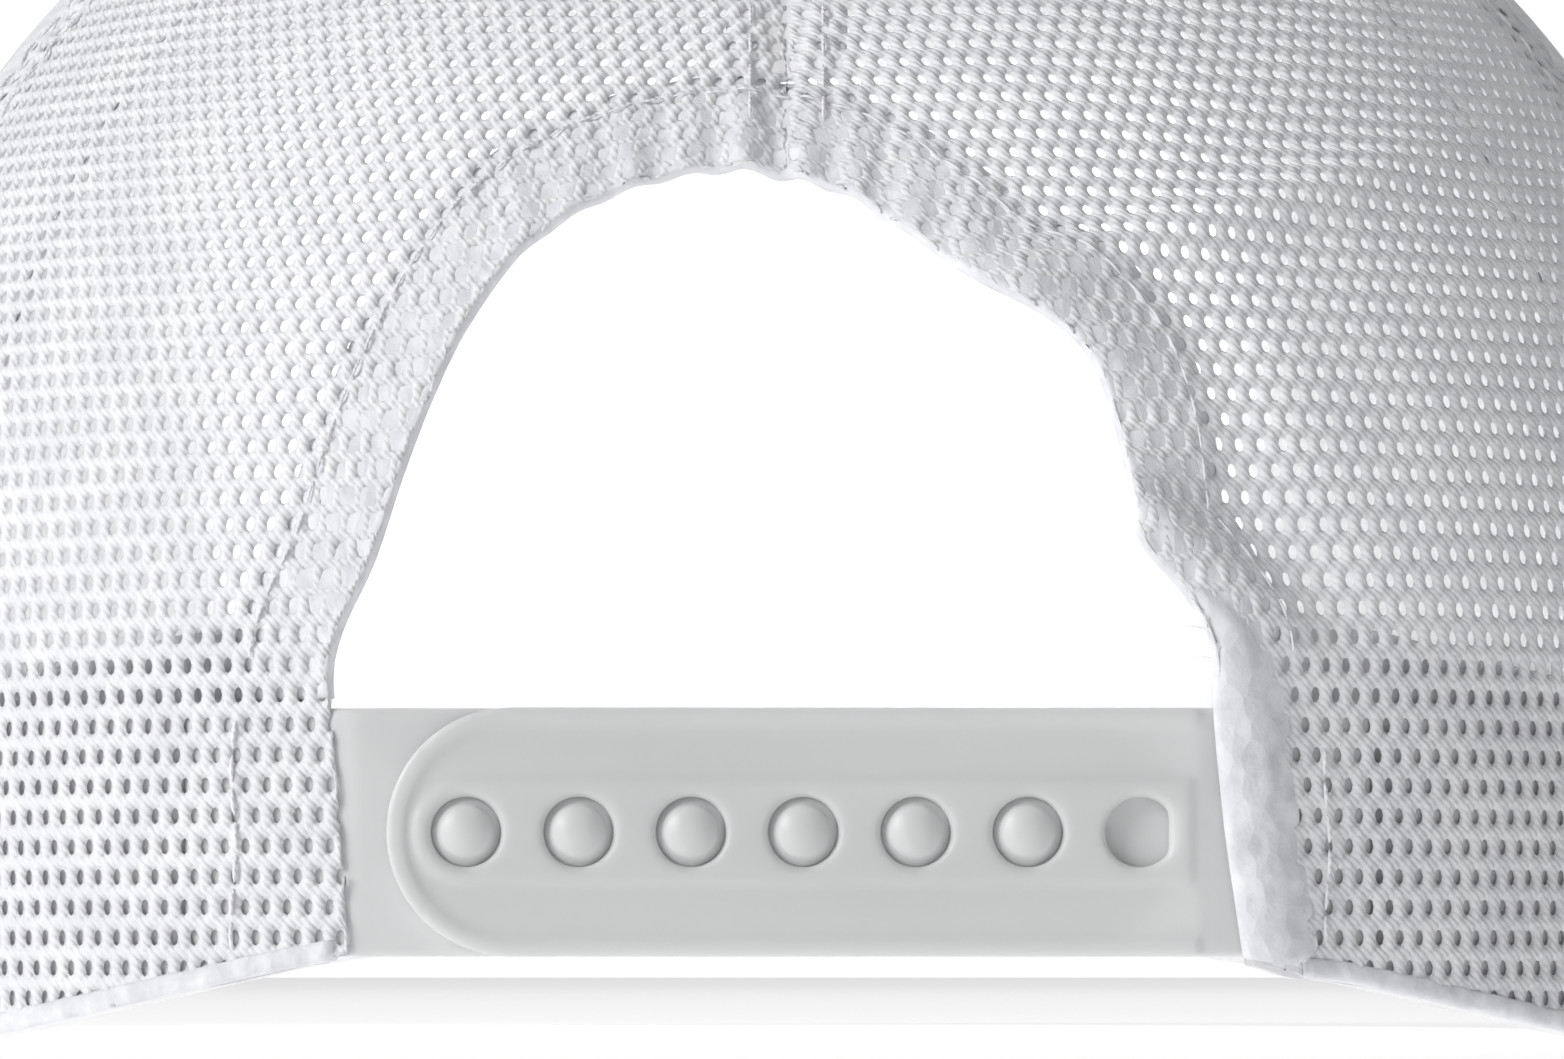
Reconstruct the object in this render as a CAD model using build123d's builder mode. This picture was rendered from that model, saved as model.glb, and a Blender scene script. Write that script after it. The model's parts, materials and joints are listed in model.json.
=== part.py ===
from build123d import *

import os
from math import asin, atan2, cos, pi, radians, sin

# Mesh-back cap with a two-strap plastic snap closure.
#
# Millimetres. The origin is the centre of the head opening on the plane that the cap stands on.
# +Z is up, +Y points out along the visor, and the snap closure is at the back, at -Y.
# Left and right are as seen from behind: left is -X and right is +X.

# ---- Crown: the outer face of the mesh ----
half_width = 88.0
rear_length = 88.0
front_length = 104.0
crown_height = 118.0
wall_height = 20.0  # the wall stands straight up to here, then curves in
rear_squareness = (2.8, 2.1)  # superellipse power in plan, at the hem and at the top
front_squareness = (2.3, 2.1)
side_rise = 2.4  # superellipse power of the side's, rear's and front's outline seen from the side
rear_rise = 2.2
front_rise = 2.9
section_heights = (0.0, 0.35, 0.7, 1.0)  # of the straight wall
curve_heights = (0.22, 0.42, 0.6, 0.75, 0.87, 0.95, 0.99, 0.9985)  # of the curved part above it
plan_steps = 6  # points on each quarter of a section

# ---- Crown: cloth layers, each measured in from the mesh's outer face ----
mesh_thickness = 0.9
front_fabric_thickness = 0.5
foam_thickness = 2.0
layer_gap = 0.1
tape_thickness = 0.5
tape_width = 10.0
seam_gap = 0.2
front_seam_angle = 58.0  # from straight ahead
rear_seam_angle = 118.0

# ---- Hem ----
hem_rise = 7.0  # the hem's height at the closure
hem_rise_start = 36.0  # half the width over which it keeps that height
hem_rise_end = 68.0  # where it comes down to the base plane
hem_round = 40.0

# ---- Rear opening ----
binding_width = 8.0
opening_edge = (  # x and height of its edge; the right side hangs in two shallow folds
    (-37.0, 27.5),
    (-36.6, 33.3),
    (-33.5, 39.8),
    (-30.6, 49.4),
    (-25.9, 59.1),
    (-18.6, 67.1),
    (-4.2, 72.1),
    (9.1, 67.1),
    (16.3, 60.7),
    (22.7, 57.5),
    (26.5, 51.0),
    (27.8, 42.5),
    (31.3, 36.5),
    (34.6, 27.5),
)
opening_middle = 36.0  # height that the binding's width is measured away from
opening_foot_left = -35.5  # where the mesh ends at the hem, over each strap
opening_foot_right = 37.0

# ---- Snap closure ----
strap_height = 20.0
strap_thickness = 1.2
strap_gap = 0.1
hole_count = 7
peg_count = 6
pitch = 9.0
first_hole = -25.7  # along the closure from its middle
hole_radius = 2.8
hole_chamfer = 0.3
peg_clearance = 0.6
peg_dome_height = 0.6
end_margin = 6.4  # from the outermost hole to the hole strap's free end
peg_end_margin = 12.4  # from the last peg to the peg strap's free end, past the last hole
rim_width = 1.4
relief_height = 0.3
track_height = 8.2
track_margin = 4.1  # from the first and last hole to the ends of the raised track
hinge_right = 33.0  # where each strap bends, from the closure's middle
hinge_left = -34.5
sewn_length = 13.0
sewn_clearance = 0.6  # from the bend to the part that is sewn down

# ---- Sweatband ----
sweatband_outer = 2.3
sweatband_thickness = 1.8
sweatband_height = 30.0
sweatband_fold = 1.5
sweatband_end = 38.5  # how far from the middle it starts, at the back
padding_height = 24.0
padding_angle = 53.0  # to each side of straight ahead

# ---- Visor ----
visor_tip = 174.0
visor_arch_radius = 240.0
visor_tilt = 3.5
visor_reference_height = 21.8  # its underside's height at the middle of the cap
visor_end = 79.0  # half the distance between its two ends
cover_thickness = 0.6
board_thickness = 2.0
cover_gap = 0.1
board_inset = 1.5
visor_edge = (  # x and y, from the end on the crown round to the middle of the tip
    (74.0, 40.0),
    (83.2, 62.0),
    (85.5, 84.0),
    (80.5, 114.0),
    (65.0, 143.0),
    (38.0, 165.0),
    (0.0, visor_tip),
)
visor_steps = 14

# ---- Button ----
button_radius = 8.0
button_height = 4.6
button_cloth = 0.5
button_wall = 0.4
button_lip = 3.0  # how far the cloth turns under
button_skirt = 1.2  # height of its upright edge
post_radius = 1.4
post_hole_radius = 2.0
tack_radius = 8.0
tack_thickness = 0.6
tack_gap = 0.45  # from the mesh's inner face at the top of the crown
tape_start_radius = 10.5

above = 30.0  # how far cutting solids run past the cap
sector_steps = 4  # sides of a cutting sector's far end


def plan_section(height, inset):
    """Points of the right half of the crown's section, from the back round to the front."""
    top = crown_height - inset
    share = max(0.0, (height - wall_height) / (top - wall_height))
    half = (half_width - inset) * (1 - share**side_rise) ** (1 / side_rise)
    rear = (rear_length - inset) * (1 - share**rear_rise) ** (1 / rear_rise)
    front = (front_length - inset) * (1 - share**front_rise) ** (1 / front_rise)
    points = []
    for step in range(2 * plan_steps + 1):
        across = sin(pi / 2 * step / plan_steps)
        along = -cos(pi / 2 * step / plan_steps)
        length = rear if step < plan_steps else front
        powers = rear_squareness if step < plan_steps else front_squareness
        power = powers[0] + (powers[1] - powers[0]) * share
        reach = ((across / half) ** power + (abs(along) / length) ** power) ** (-1 / power)
        points.append((reach * across, reach * along))
    return points


def crown_form(inset):
    """The crown as one solid, taken in by inset all over."""
    top = crown_height - inset
    heights = [share * wall_height for share in section_heights]
    heights += [wall_height + share * (top - wall_height) for share in curve_heights]
    with BuildPart() as form:
        for height in heights:
            with BuildSketch(Plane.XY.offset(height)):
                with BuildLine():
                    Spline(
                        *plan_section(height, inset),
                        tangents=((1, 0), (-1, 0)),
                        tangent_scalars=(1, 1),
                    )
                    mirror(about=Plane.YZ)
                make_face()
        loft()
    return form.part


def rear_wall(x, inset):
    """How far back the crown's straight wall is, x from the middle."""
    power = rear_squareness[0]
    share = (abs(x) / (half_width - inset)) ** power
    return -(rear_length - inset) * (1 - share) ** (1 / power)


# ---- Solids that cut the layers to shape ----

visor_plane = Plane(
    origin=(0, 0, visor_reference_height),
    x_dir=(1, 0, 0),
    z_dir=(0, -cos(radians(visor_tilt)), sin(radians(visor_tilt))),
)


def arch_height(x, radius):
    """Height over visor_plane's origin of the visor's arch of this radius, x from the middle."""
    return (radius**2 - x**2) ** 0.5 - visor_arch_radius


with BuildPart() as below_rear_hem:
    with BuildSketch(Plane.XZ):
        with BuildLine():
            foot = half_width + above
            FilletPolyline(
                (-foot, 0),
                (-hem_rise_end, 0),
                (-hem_rise_start, hem_rise),
                (hem_rise_start, hem_rise),
                (hem_rise_end, 0),
                (foot, 0),
                radius=hem_round,
            )
            Polyline((-foot, 0), (-foot, -above), (foot, -above), (foot, 0))
        make_face()
    extrude(amount=rear_length + above)

with BuildPart() as below_front_hem:
    with BuildSketch(visor_plane):
        with BuildLine():
            end_height = arch_height(visor_end, visor_arch_radius)
            base = -visor_reference_height
            ThreePointArc((-visor_end, end_height), (0, 0), (visor_end, end_height))
            Polyline(
                (visor_end, end_height),
                (half_width, base),
                (half_width + above, base),
                (half_width + above, base - above),
                (-half_width - above, base - above),
                (-half_width - above, base),
                (-half_width, base),
                (-visor_end, end_height),
            )
        make_face()
    extrude(amount=-(front_length + above))


def moved_out(point, margin):
    """A point of the opening's edge, moved straight away from the opening's middle."""
    across, up = point[0], point[1] - opening_middle
    length = (across**2 + up**2) ** 0.5
    return (point[0] + margin * across / length, point[1] + margin * up / length)


def opening_outline(margin=0.0):
    """The rear opening, down past the hem, made larger all round by margin."""
    edge = [moved_out(point, margin) for point in opening_edge]
    with BuildSketch() as outline:
        with BuildLine():
            Spline(*edge)
            Polyline(
                edge[-1],
                (opening_foot_right + margin, hem_rise),
                (opening_foot_right + margin, -above),
                (opening_foot_left - margin, -above),
                (opening_foot_left - margin, hem_rise),
                edge[0],
            )
        make_face()
    return outline.sketch


with BuildPart() as rear_opening:
    with BuildSketch(Plane.XZ):
        add(opening_outline())
    extrude(amount=rear_length + above)

with BuildPart() as binding_ring:
    with BuildSketch(Plane.XZ):
        add(opening_outline(binding_width))
        add(opening_outline(), mode=Mode.SUBTRACT)
        with Locations((0, hem_rise + strap_height + layer_gap - above)):
            Rectangle(2 * half_width, 2 * above, mode=Mode.SUBTRACT)
    extrude(amount=rear_length + above)


def sector(start, end, gap):
    """The space between two seams, by their angles from straight ahead, clear of each by half of gap."""
    reach = front_length + above
    turns = [start + (end - start) * step / sector_steps for step in range(sector_steps + 1)]
    with BuildPart() as wedge:
        with BuildSketch():
            with BuildLine():
                Polyline(
                    (0, 0),
                    *[(2 * reach * sin(radians(t)), 2 * reach * cos(radians(t))) for t in turns],
                    close=True,
                )
            make_face()
            offset(amount=-gap / 2, kind=Kind.INTERSECTION)
        extrude(amount=crown_height + above)
    return wedge.part


def above_hem(solid):
    """What is left of a layer above the hem."""
    with BuildPart() as kept:
        add(solid)
        add(below_rear_hem.part, mode=Mode.SUBTRACT)
        add(below_front_hem.part, mode=Mode.SUBTRACT)
    return kept.part


def layer(outer, inner, clear_radius):
    """The crown's cloth layer between two insets, with a hole at the top and trimmed at the hem."""
    with BuildPart() as cloth:
        add(crown_form(outer))
        add(crown_form(inner), mode=Mode.SUBTRACT)
        with Locations((0, 0, crown_height)):
            Cylinder(clear_radius, above, mode=Mode.SUBTRACT)
    return above_hem(cloth.part)


def finish(part, label):
    """Names a finished piece and writes its STEP file."""
    part.label = label
    export_step(part, f"parts/{label}.step")
    print(label, round(part.volume), "mm3")


os.makedirs("parts", exist_ok=True)

# ---- Crown panels ----

foam_outer = mesh_thickness - foam_thickness
fabric_outer = foam_outer - front_fabric_thickness
button_clearance = button_radius + layer_gap
mesh_layer = layer(0, mesh_thickness, post_hole_radius)
fabric_layer = layer(fabric_outer, foam_outer, button_clearance)
foam_layer = layer(foam_outer, mesh_thickness, button_clearance)

panels = {
    "front_fabric": (fabric_layer, -front_seam_angle, front_seam_angle),
    "front_foam": (foam_layer, -front_seam_angle, front_seam_angle),
    "side_mesh_right": (mesh_layer, front_seam_angle, rear_seam_angle),
    "side_mesh_left": (mesh_layer, -rear_seam_angle, -front_seam_angle),
    "rear_mesh_right": (mesh_layer, rear_seam_angle, 180),
    "rear_mesh_left": (mesh_layer, -180, -rear_seam_angle),
}
for label, (cloth, start, end) in panels.items():
    with BuildPart() as panel:
        add(cloth)
        add(sector(start, end, seam_gap), mode=Mode.INTERSECT)
        if label.startswith("rear"):
            add(rear_opening.part, mode=Mode.SUBTRACT)
    finish(panel.part, label)

# ---- Tapes inside the crown ----

tape_outer = mesh_thickness + layer_gap
tape_foot_height = Location((0, 0, sweatband_fold + layer_gap))
with BuildPart() as tape_foot:
    add(below_rear_hem.part.moved(tape_foot_height))
    add(below_front_hem.part.moved(tape_foot_height))
tape_layer = layer(tape_outer, tape_outer + tape_thickness, tape_start_radius)

with BuildPart() as opening_binding:
    add(tape_layer)
    add(binding_ring.part, mode=Mode.INTERSECT)
finish(opening_binding.part, "opening_binding")

seam_angles = {
    "seam_tape_front_right": front_seam_angle,
    "seam_tape_rear_right": rear_seam_angle,
    "seam_tape_centre": 180,
    "seam_tape_rear_left": -rear_seam_angle,
    "seam_tape_front_left": -front_seam_angle,
}
with BuildPart() as binding_reach:
    with BuildSketch(Plane.XZ):
        add(opening_outline(binding_width + layer_gap))
    extrude(amount=rear_length + above)

for label, angle in seam_angles.items():
    with BuildPart() as tape:
        add(tape_layer)
        add(tape_foot.part, mode=Mode.SUBTRACT)
        with Locations(Rotation(0, 0, -angle)):
            Box(
                tape_width,
                front_length + above,
                crown_height,
                align=(Align.CENTER, Align.MIN, Align.MIN),
                mode=Mode.INTERSECT,
            )
        if label == "seam_tape_centre":
            add(binding_reach.part, mode=Mode.SUBTRACT)
    finish(tape.part, label)

# ---- Sweatband and forehead padding ----


def band(outer, inner, low, high):
    """A strip of the crown's lining between two heights over the hem, open at the back."""
    with BuildPart() as strip:
        add(crown_form(outer))
        add(crown_form(inner), mode=Mode.SUBTRACT)
        add(below_rear_hem.part.moved(Location((0, 0, low))), mode=Mode.SUBTRACT)
        add(below_front_hem.part.moved(Location((0, 0, low))), mode=Mode.SUBTRACT)
    with BuildPart() as reach:
        add(below_rear_hem.part.moved(Location((0, 0, high))))
        add(below_front_hem.part.moved(Location((0, 0, high))))
    with BuildPart() as cut:
        add(strip.part)
        add(reach.part, mode=Mode.INTERSECT)
    return cut.part


def gap_at_back(half_gap):
    """The space at the back that the sweatband leaves open."""
    with BuildPart() as gap:
        Box(
            2 * half_gap,
            rear_length + above,
            crown_height,
            align=(Align.CENTER, Align.MAX, Align.CENTER),
        )
    return gap.part


sweatband_inner = sweatband_outer + sweatband_thickness
sewn_reach = max(hinge_right, -hinge_left) + sewn_clearance + strap_thickness / 2 + sewn_length
with BuildPart() as fold:
    add(band(tape_outer, sweatband_outer, 0, sweatband_fold))
    add(gap_at_back(sewn_reach + layer_gap), mode=Mode.SUBTRACT)

with BuildPart() as sweatband:
    add(band(sweatband_outer, sweatband_inner, 0, sweatband_height))
    add(gap_at_back(sweatband_end), mode=Mode.SUBTRACT)
    add(fold.part)
finish(sweatband.part, "sweatband")

with BuildPart() as padding:
    padding_low = sweatband_fold + layer_gap
    padding_high = padding_low + padding_height
    add(band(tape_outer, sweatband_outer - layer_gap, padding_low, padding_high))
    add(sector(-padding_angle, padding_angle, 0), mode=Mode.INTERSECT)
finish(padding.part, "forehead_padding")

# ---- Visor ----


def visor_outline(inset):
    """The visor's outline from above, moved in by inset."""
    ends = {"tangents": ((0.3, 1), (-1, 0)), "tangent_scalars": (1, 1)}
    with BuildLine() as edge:
        Spline(*visor_edge, **ends)
    edge_curve = edge.edge()
    points = []
    for step in range(visor_steps + 1):
        place = edge_curve.position_at(step / visor_steps)
        along = edge_curve.tangent_at(step / visor_steps)
        points.append((place.X - inset * along.Y, place.Y + inset * along.X))
    points[-1] = (0, points[-1][1])
    with BuildSketch() as outline:
        with BuildLine():
            Spline(*points, **ends)
            mirror(about=Plane.YZ)
            Line(points[0], (-points[0][0], points[0][1]))
        make_face()
    return outline.sketch


def visor_layer(low, high, inset=0.0, hollow=None):
    """A curved sheet of the visor between two heights over its underside, its edge moved in by inset."""
    with BuildPart() as outline:
        with BuildSketch():
            add(visor_outline(inset))
            if hollow:
                add(visor_outline(inset + hollow), mode=Mode.SUBTRACT)
        extrude(amount=crown_height)
        add(crown_form(fabric_outer - cover_gap - inset), mode=Mode.SUBTRACT)
    with BuildPart() as sheet:
        with BuildSketch(visor_plane):
            reach = half_width + above
            with BuildLine():
                for height in (low, high):
                    radius = visor_arch_radius + height
                    drop = arch_height(reach, radius)
                    ThreePointArc((-reach, drop), (0, height), (reach, drop))
                for side in (-reach, reach):
                    Line(
                        (side, arch_height(side, visor_arch_radius + low)),
                        (side, arch_height(side, visor_arch_radius + high)),
                    )
            make_face()
        extrude(amount=-(visor_tip + above))
        add(outline.part, mode=Mode.INTERSECT)
    return sheet.part


board_low = cover_thickness + cover_gap
board_high = board_low + board_thickness
visor_high = board_high + cover_gap + cover_thickness
visor_middle = visor_high / 2

with BuildPart() as visor_board:
    add(visor_layer(board_low, board_high, inset=board_inset))
finish(visor_board.part, "visor_board")

rim_depth = board_inset - cover_gap
with BuildPart() as visor_top:
    add(visor_layer(board_high + cover_gap, visor_high))
    add(visor_layer(visor_middle + cover_gap / 2, board_high + cover_gap, hollow=rim_depth))
finish(visor_top.part, "visor_top_cover")

with BuildPart() as visor_under:
    add(visor_layer(0, cover_thickness))
    add(visor_layer(cover_thickness, visor_middle - cover_gap / 2, hollow=rim_depth))
finish(visor_under.part, "visor_under_cover")

# ---- Button on the crown ----


def dome_arc(radius, low, high):
    """The profile of a shallow dome from its edge at low up to its middle at high."""
    rise = high - low
    sphere = (rise**2 + radius**2) / (2 * rise)
    half_turn = asin(radius / sphere) / 2
    middle = (sphere * sin(half_turn), high - sphere + sphere * cos(half_turn))
    return ThreePointArc((radius, low), middle, (0, high))


def dome(radius, height, base, skirt):
    """A round dome on a short upright skirt, standing at the height of base."""
    with BuildPart() as solid:
        with BuildSketch(Plane.XZ):
            with BuildLine():
                Polyline((0, base + height), (0, base), (radius, base), (radius, base + skirt))
                dome_arc(radius, base + skirt, base + height)
            make_face()
        revolve(axis=Axis.Z)
    return solid.part


button_base = crown_height + layer_gap
shell_base = button_base + button_cloth + layer_gap
shell_radius = button_radius - button_cloth - layer_gap
shell_height = button_height - 2 * (button_cloth + layer_gap)
shell_skirt = button_skirt - button_cloth - layer_gap

with BuildPart() as button_cover:
    add(dome(button_radius, button_height, button_base, button_skirt))
    add(
        dome(
            button_radius - button_cloth,
            button_height - 2 * button_cloth,
            button_base + button_cloth,
            button_skirt - button_cloth,
        ),
        mode=Mode.SUBTRACT,
    )
    with Locations((0, 0, button_base)):
        Cylinder(button_radius - button_lip, 2 * button_cloth + layer_gap, mode=Mode.SUBTRACT)
finish(button_cover.part, "button_cover")

with BuildPart() as button_shell:
    add(dome(shell_radius, shell_height, shell_base, shell_skirt))
    add(
        dome(shell_radius - button_wall, shell_height, shell_base - button_wall, shell_skirt),
        mode=Mode.SUBTRACT,
    )
finish(button_shell.part, "button_shell")

tack_top = crown_height - mesh_thickness - tack_gap
post_top = shell_base + shell_height - 2 * button_wall
with BuildPart() as button_tack:
    with Locations((0, 0, tack_top)):
        Cylinder(tack_radius, tack_thickness, align=(Align.CENTER, Align.CENTER, Align.MAX))
    with Locations((0, 0, tack_top - tack_thickness)):
        Cylinder(
            post_radius,
            post_top - tack_top + tack_thickness,
            align=(Align.CENTER, Align.CENTER, Align.MIN),
        )
finish(button_tack.part, "button_tack")

# ---- Snap closure ----

middle_inset = tape_outer + strap_thickness / 2
hole_root = (hinge_right, rear_wall(hinge_right, middle_inset))
peg_root = (hinge_left, rear_wall(hinge_left, middle_inset))
lean = atan2(
    hole_root[1] - peg_root[1] + strap_thickness + strap_gap,
    hinge_right - hinge_left,
)
strap_middle = hem_rise + strap_height / 2


def strap_plane(root):
    """The strap's middle plane: x runs to the right, y up and z out to the back, from its bend."""
    return Plane(
        origin=(root[0], root[1], strap_middle),
        x_dir=(cos(lean), sin(lean), 0),
        z_dir=(sin(lean), -cos(lean), 0),
    )


def strap_outline(length, side, margin=0.0):
    """A strap's outline from its bend to its rounded end, taken in by margin; side 1 is to the right."""
    straight = side * (length - strap_height / 2)
    with BuildSketch() as outline:
        with Locations((straight / 2, 0)):
            Rectangle(abs(straight), strap_height - 2 * margin)
        with Locations((straight, 0)):
            Circle(strap_height / 2 - margin)
    return outline.sketch


def strap_blank(plane, length, side):
    """A plain strap with its round root on the bend's axis."""
    with BuildPart() as blank:
        with BuildSketch(plane.offset(-strap_thickness / 2)):
            add(strap_outline(length, side))
        extrude(amount=strap_thickness)
        with BuildSketch(Plane.XY.offset(hem_rise)):
            with Locations((plane.origin.X, plane.origin.Y)):
                Circle(strap_thickness / 2)
        extrude(amount=strap_height)
    return blank.part


hole_plane = strap_plane(hole_root)
hole_strap_length = hinge_right - first_hole + end_margin
last_hole = first_hole + pitch * (hole_count - 1)
hole_spots = [(first_hole - hinge_right + pitch * n, 0) for n in range(hole_count)]
track_start = hole_spots[0][0]
track_end = hole_spots[-1][0] + track_margin
with BuildPart() as hole_strap:
    add(strap_blank(hole_plane, hole_strap_length, -1))
    with BuildSketch(hole_plane.offset(strap_thickness / 2)):
        add(strap_outline(hole_strap_length, -1))
        add(strap_outline(hole_strap_length, -1, rim_width), mode=Mode.SUBTRACT)
        with Locations((track_start, 0)):
            Circle(track_height / 2)
        with Locations(((track_start + track_end) / 2, 0)):
            Rectangle(track_end - track_start, track_height)
    extrude(amount=relief_height)
    with Locations(hole_plane.offset(strap_thickness / 2 + relief_height)):
        with Locations(*hole_spots):
            CounterSinkHole(
                hole_radius,
                hole_radius + hole_chamfer,
                depth=above,
                counter_sink_angle=90,
            )
finish(hole_strap.part, "hole_strap")

peg_plane = strap_plane(peg_root)
peg_strap_length = first_hole + pitch * (peg_count - 1) - hinge_left + peg_end_margin
peg_spots = [(first_hole - hinge_left + pitch * n, 0) for n in range(peg_count)]
peg_radius = hole_radius - peg_clearance
peg_height = strap_gap + strap_thickness + relief_height
with BuildPart() as peg:
    with BuildSketch(Plane.XZ):
        with BuildLine():
            Polyline(
                (0, peg_height + peg_dome_height),
                (0, 0),
                (peg_radius, 0),
                (peg_radius, peg_height),
            )
            dome_arc(peg_radius, peg_height, peg_height + peg_dome_height)
        make_face()
    revolve(axis=Axis.Z)

with BuildPart() as peg_strap:
    add(strap_blank(peg_plane, peg_strap_length, 1))
    with Locations(peg_plane.offset(strap_thickness / 2)):
        with Locations(*peg_spots):
            add(peg.part)
finish(peg_strap.part, "peg_strap")

sewn_start = strap_thickness / 2 + sewn_clearance
for label, root, side in (("hole_strap_end", hole_root, 1), ("peg_strap_end", peg_root, -1)):
    with BuildPart() as sewn_end:
        add(crown_form(tape_outer))
        add(crown_form(tape_outer + strap_thickness), mode=Mode.SUBTRACT)
        with Locations((root[0] + side * (sewn_start + sewn_length / 2), 0, strap_middle)):
            Box(
                sewn_length,
                rear_length + above,
                strap_height,
                align=(Align.CENTER, Align.MAX, Align.CENTER),
                mode=Mode.INTERSECT,
            )
    finish(sewn_end.part, label)
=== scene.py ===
"""Looks of the mesh-back cap: white mesh, foam front, curved visor and milky snap closure.

Lengths here are millimetres until a mesh is made, and then metres. A place on the crown is given by
phi, the angle round it from straight back, to the right, and by its height on the mesh's outer face.
"""

import json
from math import atan2, ceil, cos, pi, radians, sin, tan

import bmesh
import bpy
import numpy as np
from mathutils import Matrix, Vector


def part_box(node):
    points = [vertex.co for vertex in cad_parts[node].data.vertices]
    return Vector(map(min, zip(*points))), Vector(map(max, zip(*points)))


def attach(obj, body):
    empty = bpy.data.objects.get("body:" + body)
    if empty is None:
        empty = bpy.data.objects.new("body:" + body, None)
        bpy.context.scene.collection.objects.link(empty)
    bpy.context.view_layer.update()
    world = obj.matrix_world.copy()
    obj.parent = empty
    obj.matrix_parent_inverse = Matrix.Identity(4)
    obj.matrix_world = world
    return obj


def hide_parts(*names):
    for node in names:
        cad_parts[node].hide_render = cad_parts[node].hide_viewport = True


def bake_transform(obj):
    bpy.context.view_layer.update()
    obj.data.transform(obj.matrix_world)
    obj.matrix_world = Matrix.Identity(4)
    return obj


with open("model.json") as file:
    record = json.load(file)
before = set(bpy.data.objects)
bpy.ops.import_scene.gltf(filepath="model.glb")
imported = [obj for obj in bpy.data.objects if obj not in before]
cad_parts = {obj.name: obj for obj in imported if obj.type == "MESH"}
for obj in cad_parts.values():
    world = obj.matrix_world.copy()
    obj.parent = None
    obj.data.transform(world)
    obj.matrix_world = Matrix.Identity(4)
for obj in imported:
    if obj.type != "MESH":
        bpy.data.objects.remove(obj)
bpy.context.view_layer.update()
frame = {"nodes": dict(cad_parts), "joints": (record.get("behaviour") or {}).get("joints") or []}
METRE = 0.001  # metres in one unit of this script

# ---- Driving sizes, as the CAD part has them ----
half_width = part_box("side_mesh_right")[1][0] / METRE
rear_length = 88.0
front_length = 104.0
crown_height = 118.0
wall_height = 20.0
rear_squareness = (2.8, 2.1)
front_squareness = (2.3, 2.1)
side_rise = 2.4
rear_rise = 2.2
front_rise = 2.9
highest_share = 1 - 1e-5  # the crown's form stops this close to its top

front_seam = radians(180 - 58)
rear_seam = radians(180 - 118)
SEAMS = (0, rear_seam, -rear_seam, front_seam, -front_seam)
fabric_inset = -1.6
foam_inset = -1.1
foam_inner = 0.9
tape_inset = 1.0
tape_thickness = 0.5
tape_width = 10.0
binding_width = 8.0
strap_bottom, strap_top = (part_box("hole_strap")[k][2] / METRE for k in (0, 1))
strap_middle = 17.0
hem_rise = strap_bottom
strap_thickness = 1.2
strap_lean = radians(0.857)  # of both straps, out of square with the cap's middle line
pitch = 9.0
first_hole = -25.7
peg_count = 6

visor_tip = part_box("visor_top_cover")[1][1] / METRE
visor_radius = 240.0
visor_slope = tan(radians(3.5))
visor_low = 21.8
visor_thickness = 3.4
visor_end = 79.0
visor_inset = fabric_inset - 0.1
visor_columns = 241
visor_rows = (0.1, 0.22, 0.34, 0.46, 0.58, 0.7, 0.82, 0.94)  # of the way out, where it is stitched

# ---- Mesh cloth ----
hole_pitch = 1.8
row_pitch_low = 2.45
row_pitch_high = 1.9
hole_half_width = 0.37
hole_half_height = 0.66
thread_relief = 0.11
mesh_thickness = 0.22
mesh_end_radius = 6.0  # of the hole left under the button
mesh_foot_gap = 0.3  # from the hem up to the mesh's first threads
seam_half = 0.0012  # half the angle left open between two panels

OPENING = (  # x and height along the edge of the rear opening, left to right
    (-36.6, 24.0), (-37.1, 29.0), (-36.2, 33.2), (-33.6, 39.0), (-31.4, 46.0), (-29.0, 52.4),
    (-25.8, 58.8), (-20.8, 65.2), (-13.0, 69.9), (-4.2, 71.7), (4.0, 70.0), (11.0, 65.2),
    (15.8, 60.9), (20.6, 58.5), (24.3, 55.2), (26.6, 49.6), (27.4, 43.2), (28.1, 40.0),
    (31.3, 36.2), (33.8, 32.0), (34.6, 27.0), (35.6, 17.0), (37.2, hem_rise - 1.0),
)
OPENING_LEFT_FOOT = ((-35.3, hem_rise - 1.0), (-36.0, 16.0))
VISOR_EDGE = (
    (74.0, 40.0), (83.2, 62.0), (85.5, 84.0), (80.5, 114.0), (65.0, 143.0), (38.0, 165.0),
    (0.0, visor_tip), (-38.0, 165.0), (-65.0, 143.0), (-80.5, 114.0), (-85.5, 84.0), (-83.2, 62.0),
    (-74.0, 40.0),
)


def smoothstep(value, low, high):
    share = np.clip((np.asarray(value, float) - low) / (high - low), 0, 1)
    return share * share * (3 - 2 * share)


def bump(value, middle, spread):
    return np.exp(-(((np.asarray(value, float) - middle) / spread) ** 2))


def curve_point(p0, p1, p2, p3, t):
    """The Catmull-Rom point at t between p1 and p2."""
    square, cube = 2 * p0 - 5 * p1 + 4 * p2 - p3, 3 * p1 - p0 - 3 * p2 + p3
    return 0.5 * (2 * p1 + (p2 - p0) * t + square * t**2 + cube * t**3)


def running_length(line):
    """The length along a line at each of its points."""
    return np.concatenate([[0], np.cumsum(np.linalg.norm(np.diff(line, axis=0), axis=1))])


def smooth_through(points, spacing):
    """A smooth line through the points, as an array of points about spacing apart."""
    points = np.asarray(points, float)
    ends = (2 * points[0] - points[1], 2 * points[-1] - points[-2])
    padded = np.vstack([ends[0], points, ends[1]])
    line = []
    for n in range(len(points) - 1):
        around = padded[n : n + 4]
        count = max(2, ceil(np.linalg.norm(around[2] - around[1]) / spacing))
        line += [curve_point(*around, t) for t in np.arange(count) / count]
    line.append(points[-1])
    return np.array(line)


# ---- The crown's shape ----


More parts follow.
